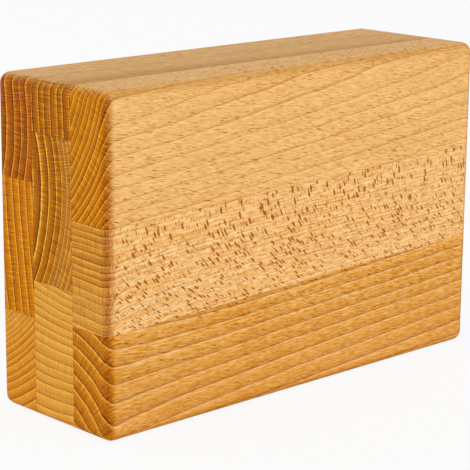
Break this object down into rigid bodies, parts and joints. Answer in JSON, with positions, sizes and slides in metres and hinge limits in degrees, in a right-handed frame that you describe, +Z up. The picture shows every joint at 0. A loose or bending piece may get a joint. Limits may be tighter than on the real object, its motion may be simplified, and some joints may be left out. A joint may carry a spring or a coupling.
{
  "type": "wooden yoga block",
  "caption": "Solid wooden exercise block glued up from full-length beech staves, with rounded edges and flat faces to stand, sit or lean on.",
  "frame": {"origin": "middle of the underside, as the block stands on its long narrow face", "axes": "+X along the grain, the length of the block; +Y from the front face to the back face; +Z up"},
  "size_m": [0.23, 0.075, 0.15],
  "materials": {
    "pale_beech": "oiled satin",
    "golden_beech": "oiled satin",
    "dark_beech": "oiled satin"
  },
  "bodies": {
    "root": {"front_top_stave": "pale_beech", "front_middle_stave": "pale_beech", "front_bottom_stave": "golden_beech", "core_top_stave": "dark_beech", "core_middle_stave": "golden_beech", "core_bottom_stave": "golden_beech", "back_top_stave": "dark_beech", "back_middle_stave": "golden_beech", "back_bottom_stave": "golden_beech"}
  },
  "joints": []
}
